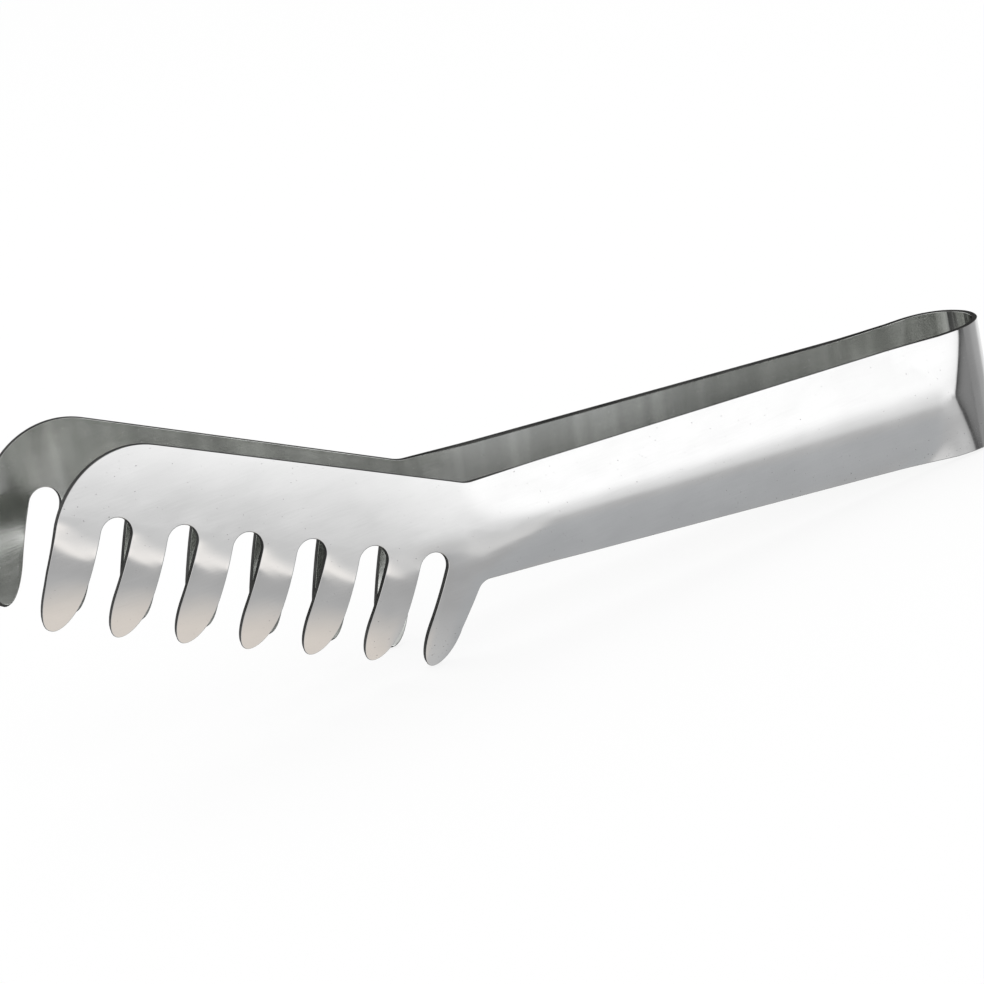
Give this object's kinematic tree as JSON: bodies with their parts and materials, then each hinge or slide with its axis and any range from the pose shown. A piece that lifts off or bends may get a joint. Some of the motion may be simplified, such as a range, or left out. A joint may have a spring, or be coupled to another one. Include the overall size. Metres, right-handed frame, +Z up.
{
  "type": "spaghetti tongs",
  "caption": "One-piece spring steel spaghetti tongs with ridged handles, a round bow and toothed combs.",
  "frame": {"origin": "centre of the footprint, on the table that the tongs lie on", "axes": "+X along the tongs towards the bow, +Y across from the front leg to the rear leg, +Z up along the bend's axis"},
  "size_m": [0.2094, 0.0336, 0.0617],
  "materials": {
    "steel": "satin"
  },
  "bodies": {
    "crown": {"bow_crown": "steel"},
    "front_leg": {"front_bow_shoulder": "steel", "front_handle": "steel", "front_comb": "steel"},
    "rear_leg": {"rear_bow_shoulder": "steel", "rear_handle": "steel", "rear_comb": "steel"}
  },
  "joints": [
    {"name": "front_squeeze", "type": "hinge", "parent": "crown", "child": "front_leg", "pos_m": [0.10175, -0.00576, 0], "axis": [0, 0, -1], "range_deg": [-1.5, 2.7], "stiffness_Nm_per_rad": 15},
    {"name": "rear_squeeze", "type": "hinge", "parent": "crown", "child": "rear_leg", "pos_m": [0.10175, 0.00576, 0], "axis": [0, 0, 1], "range_deg": [-1.5, 2.7], "stiffness_Nm_per_rad": 15}
  ],
  "couplings": [
    {"joint": "rear_squeeze", "follows": "front_squeeze", "ratio": 1}
  ]
}
